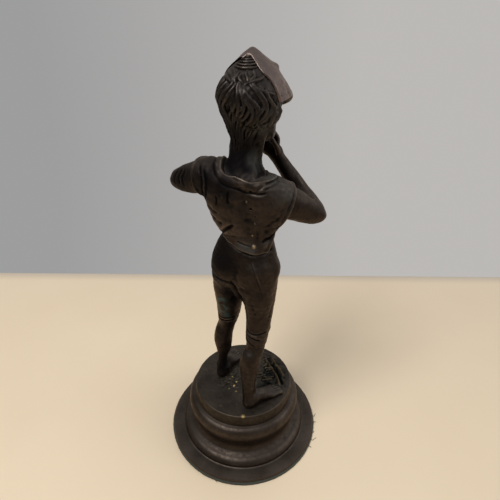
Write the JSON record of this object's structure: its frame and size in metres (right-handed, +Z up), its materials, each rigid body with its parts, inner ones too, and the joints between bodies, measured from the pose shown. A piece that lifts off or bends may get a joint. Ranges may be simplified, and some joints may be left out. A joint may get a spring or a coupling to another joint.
{
  "type": "bronze statuette",
  "caption": "Patinated bronze statuette of a standing barefoot youth in a cap with raised hands, on a turned round socle with a felt pad",
  "frame": {"origin": "on the table, at the axis of the round socle, under the felt pad", "axes": "+Z up; the figure faces -Y and its left side is +X"},
  "size_m": [0.11, 0.11, 0.2618],
  "materials": {
    "bronze_figure": "dark brown patinated bronze, satin, dusty in the hollows",
    "bronze_cap": "smooth brown patinated bronze with worn edges",
    "bronze_base": "dark brown patinated bronze, turned, fine tool marks",
    "brass_fitting": "plain brass, unpolished",
    "steel_fitting": "plain zinc-plated steel",
    "felt": "worn grey-green baize with loose fibres at its edge"
  },
  "bodies": {
    "root": {"felt_pad": "felt", "socle": "bronze_base", "terrace": "bronze_base", "lower_body": "bronze_figure", "upper_body": "bronze_figure", "left_arm": "bronze_figure", "right_arm": "bronze_figure", "head": "bronze_figure", "cap": "bronze_cap", "waist_sleeve": "brass_fitting", "waist_pin_left": "brass_fitting", "waist_pin_right": "brass_fitting", "neck_dowel": "brass_fitting", "left_shoulder_dowel": "brass_fitting", "right_shoulder_dowel": "brass_fitting", "cap_pin": "brass_fitting", "left_foot_stud": "brass_fitting", "right_foot_stud": "brass_fitting", "left_foot_nut": "brass_fitting", "right_foot_nut": "brass_fitting", "left_foot_washer": "steel_fitting", "right_foot_washer": "steel_fitting", "tie_rod": "steel_fitting", "cross_bar": "steel_fitting", "tie_washer": "steel_fitting", "tie_nut": "brass_fitting"}
  },
  "joints": []
}
